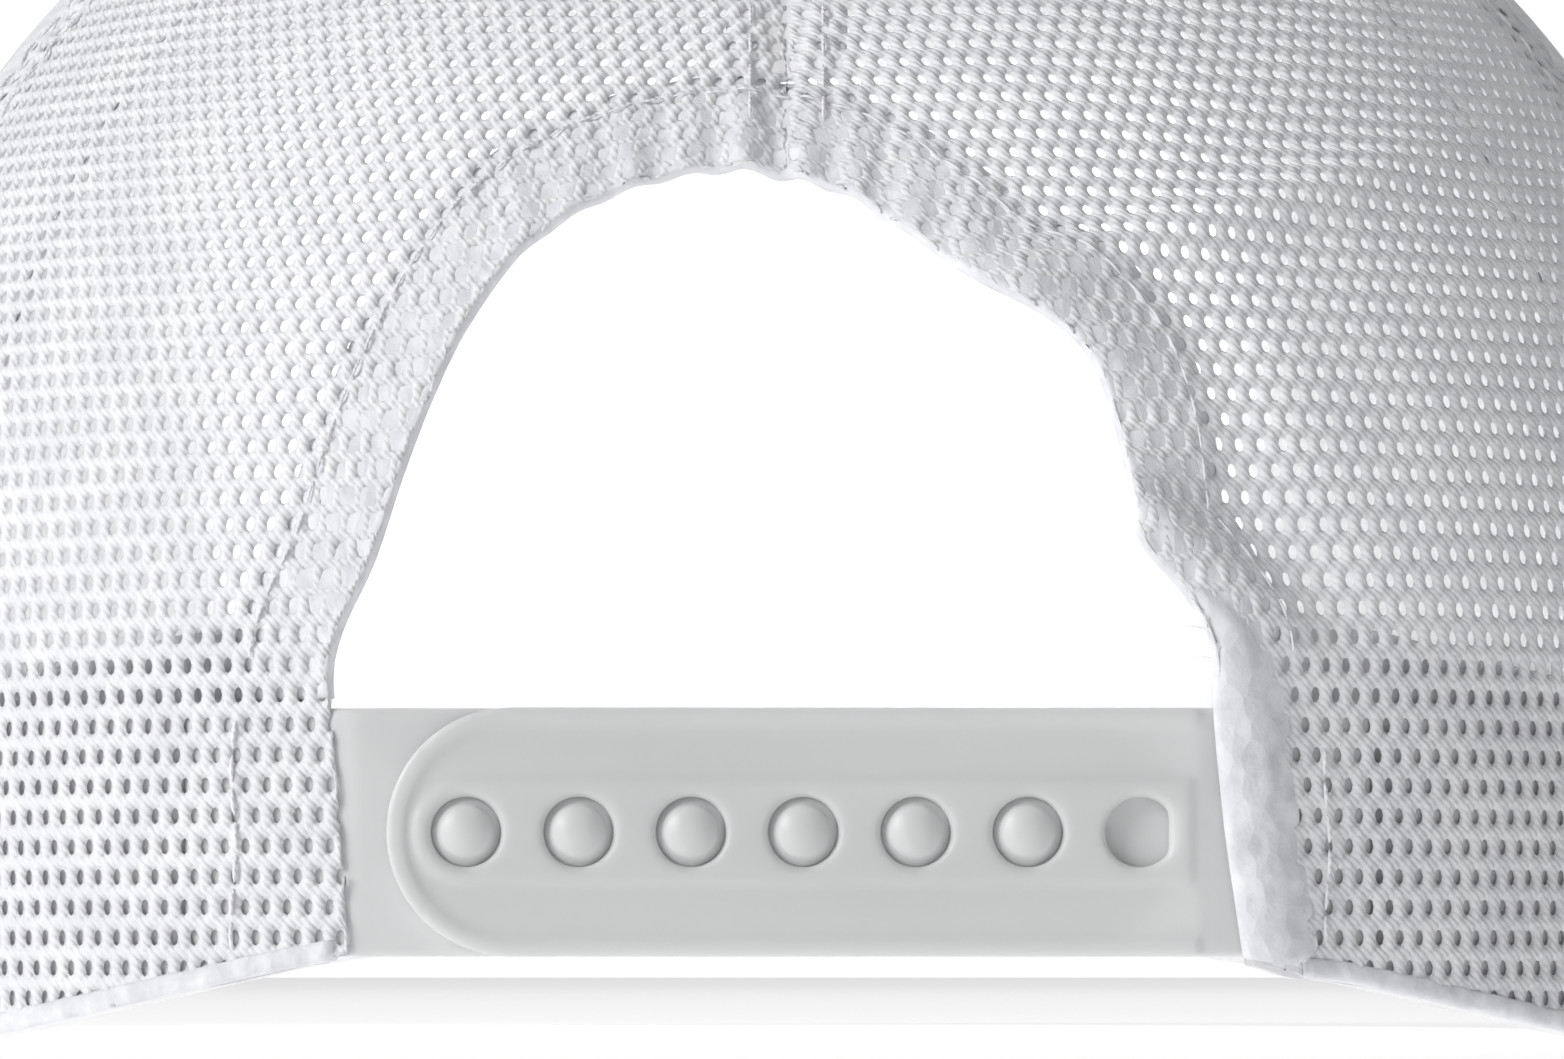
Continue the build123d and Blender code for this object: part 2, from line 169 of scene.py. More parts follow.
def crown_radius(phi, height, inset=0.0):
    """Distance from the upright middle line, for arrays of phi and height."""
    share = np.clip((height - wall_height) / (crown_height - wall_height), 0, highest_share)
    half = (half_width - inset) * (1 - share**side_rise) ** (1 / side_rise)
    rear = (rear_length - inset) * (1 - share**rear_rise) ** (1 / rear_rise)
    front = (front_length - inset) * (1 - share**front_rise) ** (1 / front_rise)
    behind = np.cos(phi) > 0
    length = np.where(behind, rear, front)
    low = np.where(behind, rear_squareness[0], front_squareness[0])
    high = np.where(behind, rear_squareness[1], front_squareness[1])
    power = low + (high - low) * share
    total = (np.abs(np.sin(phi)) / half) ** power + (np.abs(np.cos(phi)) / length) ** power
    return total ** (-1 / power)


def on_crown(phi, height, inset=0.0):
    """Points at phi and height on the crown, taken in by inset."""
    phi, height, inset = np.broadcast_arrays(phi, height, inset)
    radius = crown_radius(phi, height, inset)
    span = crown_height - wall_height
    lower = np.where(height > wall_height, (height - wall_height) / span * inset, 0)
    return np.stack([radius * np.sin(phi), -radius * np.cos(phi), height - lower], axis=-1)


def phi_at_x(x, height):
    """The angle on the back of the crown at which its surface is at x."""
    phi = np.asarray(x, float) / rear_length
    for _ in range(12):
        phi = np.arcsin(np.clip(x / crown_radius(phi, height), -0.95, 0.95))
    return phi


def rear_hem(x):
    """The hem's height behind the sides, with its corners eased."""
    ease = (-4, -2, 0, 2, 4)
    level = sum(np.interp(np.abs(x) + e, (36, 68), (hem_rise, 0)) for e in ease) / len(ease)
    return level - 0.5 * bump(x, 41.5, 2.6)


def front_hem(x, y):
    """The hem's height along the visor and past its ends."""
    arch = np.sqrt(visor_radius**2 - np.clip(np.abs(x), 0, visor_end) ** 2) - visor_radius
    shoulder = np.interp(np.abs(x), (visor_end, half_width), (0, 1))
    level = visor_low + arch + shoulder * (-visor_low - arch)
    return np.maximum(level - visor_slope * y, 0)


def hem_height(phi):
    place = on_crown(phi, 5.0)
    x, y = place[..., 0], place[..., 1]
    return np.where(y < 0, rear_hem(x), front_hem(x, y))


OPENING_LINE = smooth_through(OPENING_LEFT_FOOT + OPENING, 0.7)


def opening_distance(x, z):
    """Distance to the opening's edge in the upright plane, below 0 inside it, and the nearest point."""
    start, end = OPENING_LINE[:-1], OPENING_LINE[1:]
    step = end - start
    spots = np.stack([np.ravel(x), np.ravel(z)], axis=-1)
    best = np.full(len(spots), np.inf)
    nearest = np.zeros_like(spots)
    for a, d in zip(start, step):
        share = np.clip(((spots - a) @ d) / (d @ d), 0, 1)
        place = a + share[:, None] * d
        gap = np.hypot(*(spots - place).T)
        closer = gap < best
        best[closer] = gap[closer]
        nearest[closer] = place[closer]
    column = np.interp(spots[:, 1], *opening_side(0))
    other = np.interp(spots[:, 1], *opening_side(1))
    top = OPENING_LINE[:, 1].max()
    within = (spots[:, 0] > column) & (spots[:, 0] < other) & (spots[:, 1] < top)
    best[within] *= -1
    return best.reshape(np.shape(x)), nearest.reshape(np.shape(x) + (2,))


def opening_side(side):
    """Heights and x of the opening's left (0) or right (1) edge, with rising heights."""
    top = OPENING_LINE[:, 1].argmax()
    half = OPENING_LINE[: top + 1] if side == 0 else OPENING_LINE[top:][::-1]
    keep = np.concatenate([[True], np.diff(np.maximum.accumulate(half[:, 1])) > 1e-6])
    return half[keep, 1], half[keep, 0]


def drape(x, z, edge):
    """How far the back cloth stands out of the plain form, edge away from the opening's edge."""
    right = smoothstep(x, 6, 20)
    flare = 1.5 * bump(edge, 0, 5.0) * right * (1 - 0.7 * bump(z, 50, 5))
    flare = flare * (0.35 + 0.65 * smoothstep(z, 24, 36))
    valley = -0.7 * bump(edge, 9.5, 3.0) * right * smoothstep(z, 29, 40) * (1 - smoothstep(z, 40, 70))
    slant_fold = 1.0 * bump(z - 0.35 * (x - 22), 63.0, 2.6) * right * (1 - smoothstep(x, 40, 62))
    low_fold = 0.8 * bump(z + 0.75 * (x - 28), 43.0, 2.6)
    low_fold = low_fold * smoothstep(x, 24, 29) * (1 - smoothstep(x, 36, 46))
    soft = 0.35 * np.sin(0.13 * x + 0.05 * z + 1.0) * smoothstep(z, 34, 55)
    on_band = -0.6 * (1 - smoothstep(z, 26, 33))
    return flare + valley + slant_fold + low_fold + np.maximum(soft, -0.15) + on_band


def seam_relief(phi, height):
    """The valley that each seam pulls in the cloth, with puckers beside it."""
    relief = np.zeros(np.broadcast(phi, height).shape)
    radius = crown_radius(phi, height)
    for angle in SEAMS:
        off = np.abs((phi - angle + pi) % (2 * pi) - pi) * radius
        pucker = 0.12 * np.sin(2 * pi * height / 4.5) * bump(off, 2.5, 2.5)
        relief = relief - 0.55 * bump(off, 0, 1.3) + pucker
    return relief


def cloth_out(phi, height):
    """All of the back cloth's displacement, outwards."""
    place = on_crown(phi, height)
    x, z = place[..., 0], place[..., 2]
    back = smoothstep(np.cos(phi), 0.15, 0.6)
    gap, _ = opening_distance(x, z)
    near = np.abs(gap)
    pleats = 0.2 + 0.25 * bump(x, -1, 8)
    gathers = pleats * np.sin(2 * pi * x / 4.6) * bump(near, 0, 7) * smoothstep(z, 60, 68)
    return back * (drape(x, z, near) + gathers) + seam_relief(phi, height)


# ---- Making meshes ----


def new_piece(name, points, faces, material, body="crown", uv=None):
    """A mesh object from millimetre points, riding on a CAD body."""
    mesh = bpy.data.meshes.new(name)
    mesh.from_pydata((np.asarray(points).reshape(-1, 3) * METRE).tolist(), [], [tuple(f) for f in faces])
    if uv is not None:
        layer = mesh.uv_layers.new(name="flat")
        corner = np.zeros(len(mesh.loops), dtype=np.int32)
        mesh.loops.foreach_get("vertex_index", corner)
        layer.data.foreach_set("uv", np.asarray(uv).reshape(-1, 2)[corner].ravel())
    mesh.polygons.foreach_set("use_smooth", [True] * len(mesh.polygons))
    mesh.materials.append(material)
    obj = bpy.data.objects.new(name, mesh)
    bpy.context.scene.collection.objects.link(obj)
    if body:
        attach(obj, body)
    return obj


def grid_faces(rows, columns, close_columns=False):
    """Quads over a grid of points stored row by row."""
    faces = []
    for r in range(rows - 1):
        for c in range(columns if close_columns else columns - 1):
            r2, c2 = r + 1, (c + 1) % columns
            faces.append((r * columns + c, r * columns + c2, r2 * columns + c2, r2 * columns + c))
    return faces


def tube_piece(name, rings, material):
    """A closed solid from rings of points, shape (ring, point, 3), with a fan at both ends."""
    count, around = rings.shape[:2]
    faces = grid_faces(count, around, close_columns=True)
    points = np.vstack([rings.reshape(-1, 3), rings[0].mean(axis=0), rings[-1].mean(axis=0)])
    start, end = count * around, count * around + 1
    for k in range(around):
        k2 = (k + 1) % around
        faces.append((start, k2, k))
        faces.append((end, (count - 1) * around + k, (count - 1) * around + k2))
    along = running_length(rings[:, 0])
    across = np.arange(around) / around
    uv = np.stack(np.broadcast_arrays(along[:, None], across[None, :] * 6), axis=-1)
    uv = np.vstack([uv.reshape(-1, 2), [0, 0], [along[-1], 0]])
    return new_piece(name, points, faces, material, uv=uv)


def add_modifier(obj, kind, **values):
    modifier = obj.modifiers.new(kind.title(), kind)
    for key, value in values.items():
        setattr(modifier, key, value)
    return modifier


# ---- Materials ----


class Nodes:
    """A material's node tree with short ways to add and join nodes."""

    def __init__(self, name, **sockets):
        self.material = bpy.data.materials.new(name)
        self.material.use_nodes = True
        self.tree = self.material.node_tree
        self.shader = self.tree.nodes["Principled BSDF"]
        for key, value in sockets.items():
            self.shader.inputs[key.replace("_", " ")].default_value = value
        self.height = None

    def glow(self, reach):
        """Lets light travel this far inside, in metres."""
        self.shader.inputs["Subsurface Radius"].default_value = (reach, reach, reach)
        self.shader.inputs["Subsurface Scale"].default_value = 1.0

    def add(self, kind, inputs=None, **settings):
        node = self.tree.nodes.new(kind)
        for key, value in settings.items():
            setattr(node, key, value)
        for key, value in (inputs or {}).items():
            if isinstance(value, bpy.types.NodeSocket):
                self.tree.links.new(value, node.inputs[key])
            else:
                node.inputs[key].default_value = value
        return node

    def coordinate(self, kind="Object", scale=(1, 1, 1)):
        source = self.add("ShaderNodeTexCoord").outputs[kind]
        mapping = self.add("ShaderNodeMapping", {"Vector": source, "Scale": scale})
        return mapping.outputs["Vector"]

    def colour_between(self, factor, first, second, low=0.35, high=0.65):
        """Mixes two base colours by a 0 to 1 value."""
        ramp = self.add("ShaderNodeValToRGB", {"Fac": factor})
        for element, place, colour in zip(ramp.color_ramp.elements, (low, high), (first, second)):
            element.position = place
            element.color = (*colour, 1)
        self.tree.links.new(ramp.outputs["Color"], self.shader.inputs["Base Color"])

    def relief(self, height, distance, strength=1.0):
        """Adds a bump over the ones already there; distance is in metres."""
        inputs = {"Height": height, "Distance": distance, "Strength": strength}
        if self.height is not None:
            inputs["Normal"] = self.height
        self.height = self.add("ShaderNodeBump", inputs).outputs["Normal"]
        self.tree.links.new(self.height, self.shader.inputs["Normal"])

    def vary_roughness(self, factor, low, high):
        spread = self.add("ShaderNodeMapRange", {"Value": factor, "To Min": low, "To Max": high})
        self.tree.links.new(spread.outputs["Result"], self.shader.inputs["Roughness"])


def noise(nodes, scale, detail=3.0, kind="Object", stretch=(1, 1, 1)):
    vector = nodes.coordinate(kind, stretch)
    inputs = {"Vector": vector, "Scale": scale, "Detail": detail}
    return nodes.add("ShaderNodeTexNoise", inputs).outputs["Fac"]


def wave(nodes, scale, direction="X", kind="Object", stretch=(1, 1, 1), distortion=0.0):
    vector = nodes.coordinate(kind, stretch)
    node = nodes.add(
        "ShaderNodeTexWave",
        {"Vector": vector, "Scale": scale, "Distortion": distortion, "Detail": 1.0},
        bands_direction=direction,
    )
    return node.outputs["Fac"]


def mesh_cloth():
    """Knitted polyester: fine loops along the threads and faint yarn-to-yarn variation."""
    nodes = Nodes("mesh_cloth", Roughness=0.62, Sheen_Weight=0.25, Subsurface_Weight=0.12)
    nodes.glow(0.001)
    nodes.colour_between(noise(nodes, 190, 4), (0.80, 0.805, 0.835), (0.88, 0.885, 0.905))
    nodes.relief(wave(nodes, 0.9, "DIAGONAL", "UV", distortion=1.5), 0.00008, 0.7)
    nodes.relief(noise(nodes, 2600, 2), 0.00008, 0.6)
    return nodes.material


def folded_mesh():
    """Mesh cloth folded on itself, with its holes closed by the layer behind."""
    nodes = Nodes("folded_mesh", Roughness=0.7, Sheen_Weight=0.3, Subsurface_Weight=0.1)
    nodes.glow(0.001)
    nodes.colour_between(noise(nodes, 420, 4), (0.74, 0.745, 0.79), (0.88, 0.885, 0.91))
    cells = nodes.add(
        "ShaderNodeTexVoronoi", {"Vector": nodes.coordinate("Object", (1, 1, 0.75)), "Scale": 620}
    )
    nodes.relief(cells.outputs["Distance"], 0.0003, 0.8)
    nodes.relief(noise(nodes, 2400, 2), 0.0001, 0.6)
    return nodes.material


def woven(name, dark, light, threads_per_metre=2200, roughness=0.75):
    """Plain weave: two crossed sets of threads."""
    nodes = Nodes(name, Roughness=roughness, Sheen_Weight=0.2)
    nodes.colour_between(noise(nodes, 260, 5), dark, light)
    scale = threads_per_metre / (2 * pi)
    nodes.relief(wave(nodes, scale, "X", distortion=0.4), 0.00006, 0.6)
    nodes.relief(wave(nodes, scale, "Z", distortion=0.4), 0.00006, 0.6)
    nodes.relief(noise(nodes, 900, 3), 0.00008, 0.4)
    return nodes.material


def foam():
    """Open-cell foam with a fine pitted skin."""
    nodes = Nodes("foam", Roughness=0.85, Subsurface_Weight=0.2)
    nodes.glow(0.002)
    nodes.colour_between(noise(nodes, 700, 3), (0.90, 0.90, 0.90), (0.95, 0.95, 0.95))
    cells = nodes.add("ShaderNodeTexVoronoi", {"Vector": nodes.coordinate(), "Scale": 1500})
    nodes.relief(cells.outputs["Distance"], 0.00015, 0.6)
    return nodes.material


def brushed_cotton():
    nodes = Nodes("brushed_cotton", Roughness=0.9, Sheen_Weight=0.45)
    nodes.colour_between(noise(nodes, 300, 5), (0.82, 0.82, 0.84), (0.9, 0.9, 0.91))
    nodes.relief(noise(nodes, 1500, 4, stretch=(1, 1, 0.4)), 0.0002, 0.7)
    return nodes.material


def milky_plastic():
    """Moulded polyethylene: slightly see-through, satin, with faint flow marks."""
    nodes = Nodes("milky_plastic", Roughness=0.4, Subsurface_Weight=0.35, IOR=1.5)
    nodes.glow(0.003)
    flow = noise(nodes, 60, 2, stretch=(0.3, 1, 1.4))
    nodes.colour_between(flow, (0.655, 0.663, 0.666), (0.715, 0.72, 0.722), 0.3, 0.7)
    nodes.vary_roughness(noise(nodes, 140, 3), 0.34, 0.5)
    nodes.relief(flow, 0.0002, 0.25)
    nodes.relief(noise(nodes, 1800, 2), 0.00003, 0.3)
    return nodes.material


def thread():
    nodes = Nodes("thread", Roughness=0.55, Sheen_Weight=0.3)
    nodes.colour_between(noise(nodes, 900, 2), (0.82, 0.82, 0.85), (0.92, 0.92, 0.94))
    nodes.relief(wave(nodes, 900, "DIAGONAL"), 0.00008, 0.8)
    return nodes.material


def brushed_metal():
    nodes = Nodes("button_metal", Metallic=1.0, Roughness=0.35)
    nodes.colour_between(noise(nodes, 400, 3), (0.7, 0.7, 0.72), (0.82, 0.82, 0.84))
    nodes.relief(noise(nodes, 1500, 2), 0.00002, 0.4)
    return nodes.material


def board_plastic():
    nodes = Nodes("board_plastic", Roughness=0.6)
    nodes.colour_between(noise(nodes, 80, 3), (0.8, 0.8, 0.8), (0.88, 0.88, 0.88))
    nodes.relief(noise(nodes, 900, 2), 0.00005, 0.4)
    return nodes.material


MESH_CLOTH = mesh_cloth()
FOLDED_MESH = folded_mesh()
FRONT_CLOTH = woven("front_cloth", (0.82, 0.82, 0.84), (0.89, 0.89, 0.905))
TAPE_CLOTH = woven("tape_cloth", (0.84, 0.84, 0.87), (0.92, 0.92, 0.94), 1500)
FOAM = foam()
COTTON = brushed_cotton()
PLASTIC = milky_plastic()
THREAD = thread()
METAL = brushed_metal()
BOARD = board_plastic()

# ---- Mesh panels ----


class FlatMap:
    """Turns a panel's flat cut, s across and t up its middle line, into phi and height on the crown."""

    def __init__(self, middle):
        share = np.linspace(0, 1, 260)
        upper = wall_height + (crown_height - wall_height) * highest_share * np.sin(share * pi / 2)
        self.heights = np.concatenate([np.linspace(0, wall_height, 21)[:-1], upper])
        centre = on_crown(np.full_like(self.heights, middle), self.heights)
        self.rises = running_length(centre)
        self.across = np.arange(-150.0, 151.0)
        angles = middle + np.linspace(-radians(100), radians(100), 801)
        self.phi = np.zeros((len(self.heights), len(self.across)))
        for row, height in enumerate(self.heights):
            line = on_crown(angles, height)
            steps = running_length(line)
            steps -= np.interp(middle, angles, steps)
            self.phi[row] = np.interp(self.across, steps, angles)

    def place(self, s, t):
        height = np.interp(t, self.rises, self.heights)
        row = np.clip(np.searchsorted(self.heights, height) - 1, 0, len(self.heights) - 2)
        part = (height - self.heights[row]) / (self.heights[row + 1] - self.heights[row])
        column = np.clip((s - self.across[0]).astype(int), 0, len(self.across) - 2)
        side = s - self.across[column]
        low = self.phi[row, column] * (1 - side) + self.phi[row, column + 1] * side
        high = self.phi[row + 1, column] * (1 - side) + self.phi[row + 1, column + 1] * side
        return low * (1 - part) + high * part, height


def row_place(v):
    """Height up the cloth of row v: rows lie closer above the opening, where the cloth is pulled."""
    v = np.asarray(v, float)
    full = row_pitch_low * v
    squeeze = (row_pitch_low - row_pitch_high) / row_pitch_low
    eased = np.clip(full - 25, 0, 50)
    return full - squeeze * (eased**2 / 100 + np.maximum(full - 75, 0))


def hole_lattice(half_span, rise):
    """Cell corners, hole rims and quads of the cloth's open-hole pattern."""
    rows = int(rise / row_pitch_high) + 2
    reach = int(half_span / hole_pitch) + 2
    ids, spots, faces, crest = {}, [], [], []
    outer_steps = ((2, 1), (2, 2), (1, 2), (0, 2), (0, 1), (0, 0), (1, 0), (2, 0))

    def corner(x, y):
        if (x, y) not in ids:
            ids[(x, y)] = len(spots)
            spots.append((x * hole_pitch / 2, y / 2))
            crest.append(1.0)
        return ids[(x, y)]

    for row in range(rows):
        for cell in range(-reach, reach + 1):
            x0, y0 = 2 * cell + row % 2 - 1, 2 * row
            ring = [corner(x0 + dx, y0 + dy) for dx, dy in outer_steps]
            rim = []
            for k in range(8):
                turn = k * pi / 4
                rim.append(len(spots))
                spots.append(
                    (
                        (x0 + 1) * hole_pitch / 2 + hole_half_width * cos(turn),
                        row + 0.5 + hole_half_height / row_pitch_low * sin(turn),
                    )
                )
                crest.append(-1.0)
            for k in range(8):
                k2 = (k + 1) % 8
                faces.append((ring[k], ring[k2], rim[k2], rim[k]))
    spots = np.array(spots)
    return np.stack([spots[:, 0], row_place(spots[:, 1])], axis=-1), np.array(faces), np.array(crest)


def mesh_panel(name, low, high):
    """One panel of hole cloth between two seams, cut to the hem and to the rear opening."""
    middle = (low + high) / 2
    chart = FlatMap(middle)
    widest = (high - low) / 2 * 1.25 * rear_length
    spots, faces, crest = hole_lattice(widest, chart.rises[-1])
    phi, height = chart.place(spots[:, 0], np.minimum(spots[:, 1], chart.rises[-1]))
    radius = crown_radius(phi, height)
    room = [
        (phi - low) * radius,
        (high - phi) * radius,
        height - hem_height(phi) - mesh_foot_gap,
        chart.rises[-1] - mesh_end_radius - spots[:, 1],
    ]
    place = on_crown(phi, height)
    gap, nearest = opening_distance(place[:, 0], place[:, 2])
    at_back = np.cos(phi) > 0.5
    room.append(np.where(at_back, gap, 1.0))
    room = np.array(room)
    gone = (room[:, faces] <= 0).all(axis=2).any(axis=0)
    faces = faces[~gone]

    phi = np.clip(phi, low, high)
    height = np.maximum(height, hem_height(phi) + mesh_foot_gap)
    moved = at_back & (gap < 0)
    height[moved] = np.maximum(nearest[moved, 1], hem_height(phi[moved]) + mesh_foot_gap)
    phi[moved] = phi_at_x(nearest[moved, 0], height[moved])

    out = cloth_out(phi, height) + thread_relief * crest
    points = on_crown(phi, height, -out)
    used = np.unique(faces)
    renumber = np.zeros(len(points), dtype=int)
    renumber[used] = np.arange(len(used))
    obj = new_piece(name, points[used], renumber[faces], MESH_CLOTH, uv=spots[used])
    clean(obj)
    add_modifier(obj, "SOLIDIFY", thickness=mesh_thickness * METRE, offset=-1.0)
    return obj


def clean(obj):
    """Merges points that clamping brought together and drops faces of no area."""
    work = bmesh.new()
    work.from_mesh(obj.data)
    bmesh.ops.remove_doubles(work, verts=work.verts, dist=0.02 * METRE)
    bmesh.ops.dissolve_degenerate(work, edges=work.edges, dist=0.01 * METRE)
    slivers = [face for face in work.faces if face.calc_area() < 1e-10]
    bmesh.ops.delete(work, geom=slivers, context="FACES")
    loose = [vert for vert in work.verts if not vert.link_faces]
    bmesh.ops.delete(work, geom=loose, context="VERTS")
    work.to_mesh(obj.data)
    work.free()


def mesh_panels():
    panels = {
        "rear_mesh_right": (seam_half, rear_seam - seam_half),
        "rear_mesh_left": (-rear_seam + seam_half, -seam_half),
        "side_mesh_right": (rear_seam + seam_half, front_seam - seam_half),
        "side_mesh_left": (-front_seam + seam_half, -rear_seam - seam_half),
    }
    for label, (low, high) in panels.items():
        panel = mesh_panel(label + "_cloth", low, high)
        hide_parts(label)


# ---- Strips and slabs that follow the crown ----


def slab_faces(rows, columns):
    """Faces of a closed slab made of an outer and an inner grid of the same size."""
    outer = grid_faces(rows, columns)
    shift = rows * columns
    inner = [tuple(point + shift for point in reversed(face)) for face in outer]
    low, high = list(range(columns)), [(rows - 1) * columns + c for c in range(columns)]
    right = [r * columns + columns - 1 for r in range(1, rows)]
    left = [r * columns for r in range(rows - 2, 0, -1)]
    loop = low + right + high[-2::-1] + left
    edges = zip(loop, loop[1:] + loop[:1])
    return outer + inner + [(b, a, a + shift, b + shift) for a, b in edges]


def slab(name, outer, inner, material):
    """A closed slab from two grids of points, each of shape (rows, columns, 3)."""
    rows, columns = outer.shape[:2]
    along, up = running_length(outer[0]), running_length(outer[:, 0])
    uv = np.stack(np.broadcast_arrays(along[None, :], up[:, None]), axis=-1)
    uv = np.concatenate([uv.reshape(-1, 2)] * 2)
    points = np.concatenate([outer.reshape(-1, 3), inner.reshape(-1, 3)])
    return new_piece(name, points, slab_faces(rows, columns), material, uv=uv)


def height_at_radius(phi, radius, inset=0.0):
    """Height at which the crown, going up, has narrowed to radius."""
    low = np.full(np.shape(phi), wall_height)
    high = np.full(np.shape(phi), float(crown_height))
    for _ in range(40):
        middle = (low + high) / 2
        wide = crown_radius(phi, middle, inset) > radius
        low = np.where(wide, middle, low)
        high = np.where(wide, high, middle)
    return low


def crown_grid(phi, rows, low, high):
    """Angles and heights of a grid on the crown whose rows crowd towards the top."""
    rise = np.sin(np.linspace(0, 1, rows) * pi / 2)[:, None]
    heights = low[None, :] + (high - low)[None, :] * rise
    return np.broadcast_to(phi, heights.shape), heights


def back_point(x, z, out):
    """A point at x and z on the back of the crown, out of the draped cloth by out."""
    phi = phi_at_x(x, z)
    return on_crown(phi, z, -(cloth_out(phi, z) + out))


def smooth_loop(points, steps=3):
    """A closed curve through the points."""
    points = np.asarray(points, float)
    line = []
    for n in range(len(points)):
        around = [points[(n + k) % len(points)] for k in (-1, 0, 1, 2)]
        line += [curve_point(*around, t) for t in np.arange(steps) / steps]
    return np.array(line)


# ---- Front panel ----


def front_dents(phi, height):
    """Shallow dents and a pull along the seams, as laminated foam shows."""
    x = crown_radius(phi, height) * np.sin(phi)
    soft = 0.35 * np.sin(0.09 * x + 0.4) * np.sin(0.07 * height + 1.1)
    edge = np.minimum(np.abs(phi - front_seam), np.abs(2 * pi - front_seam - phi)) * half_width
    return soft - 0.5 * bump(edge, 0, 2.0)


def front_panel():
    phi = np.linspace(front_seam + seam_half, 2 * pi - front_seam - seam_half, 240)
    top_radius = 7.0
    low = hem_height(phi)
    angle, height = crown_grid(phi, 150, low + 0.2, height_at_radius(phi, top_radius, fabric_inset))
    dents = front_dents(angle, height)
    outer = on_crown(angle, height, fabric_inset - 0.1 - dents)
    inner = on_crown(angle, height, foam_inset - dents)
    cloth = slab("front_face_cloth", outer, inner, FRONT_CLOTH)
    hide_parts("front_fabric")

    angle, height = crown_grid(phi, 150, low + 0.4, height_at_radius(phi, top_radius, foam_inset))
    dents = front_dents(angle, height)
    outer = on_crown(angle, height, foam_inset + 0.03 - dents)
    inner = on_crown(angle, height, foam_inner - 0.4 * dents)
    pad = slab("front_foam_pad", outer, inner, FOAM)
    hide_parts("front_foam")


# ---- Tapes, folds and hems ----


def seam_tape(name, angle, node):
    """A woven tape behind a seam, with its two edges a little thicker."""
    clear_radius = 10.5
    foot_gap = 1.8
    centre = abs(angle) < 0.01
    low = hem_height(angle) + foot_gap
    if centre:
        low = OPENING_LINE[:, 1].max() + binding_width + 0.3
    high = height_at_radius(angle, clear_radius, tape_inset)
    heights = low + (high - low) * np.sin(np.linspace(0, 1, 110) * pi / 2)
    across = np.linspace(-tape_width / 2, tape_width / 2, 17)
    radius = crown_radius(np.full_like(heights, angle), heights, tape_inset)
    angles = angle + np.arctan2(across[None, :], radius[:, None])
    heights = np.broadcast_to(heights[:, None], angles.shape)
    edge = 0.12 * bump(np.abs(across), tape_width / 2 - 0.8, 0.5)[None, :]
    ripple = 0.06 * np.sin(heights * 1.9) + 0.04 * np.sin(heights * 0.7 + angle)
    relief = np.minimum(seam_relief(angles, heights), 0) * 0.5
    at_back = np.cos(angles) > 0.2
    sunk = 0.5 * (1 - smoothstep(heights, 24, 34)) * at_back  # clear of the mesh drawn in on the band
    outer = on_crown(angles, heights, 0.42 - relief + sunk)
    under_band = 1 - smoothstep(heights - low, 27, 30)
    back = tape_inset + tape_thickness + edge + ripple
    inner = on_crown(angles, heights, back - relief - (back - 1.05) * under_band)
    tape = slab(name, outer, inner, TAPE_CLOTH)
    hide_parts(node)


def arch_normals():
    """Unit directions away from the opening, along its edge, smoothed at the corners."""
    along = np.gradient(OPENING_LINE, axis=0)
    normal = np.stack([-along[:, 1], along[:, 0]], axis=-1)
    normal /= np.linalg.norm(normal, axis=1)[:, None]
    window = np.hanning(13)[1:-1]
    for axis in (0, 1):
        padded = np.pad(normal[:, axis], len(window) // 2, mode="edge")
        normal[:, axis] = np.convolve(padded, window / window.sum(), mode="valid")
    return normal / np.linalg.norm(normal, axis=1)[:, None]


ARCH_NORMALS = arch_normals()


ARCH_LENGTH = running_length(OPENING_LINE)
FOLD_SECTION = (  # distance from the opening's edge, and how far out of the cloth
    (0.7, -0.04), (0.3, 0.0), (0.02, -0.08), (-0.14, -0.45), (-0.1, -1.0), (0.5, -1.32),
    (2.5, -1.3), (5.5, -1.2), (7.8, -1.0), (8.1, -0.8), (7.8, -0.4), (5.5, -0.06), (2.8, -0.04),
    (1.6, 0.02),
)
WELT_SECTION = (  # the same, beside the strap at the right
    (5.2, 0.1), (4.3, 0.5), (3.0, 0.9), (1.3, 0.75), (0.0, 0.3), (-0.4, -0.3), (0.1, -0.62),
    (1.6, -0.7), (3.0, -0.7), (4.2, -0.7), (5.2, -0.68), (5.8, -0.55), (6.0, -0.35), (5.9, -0.1),
)


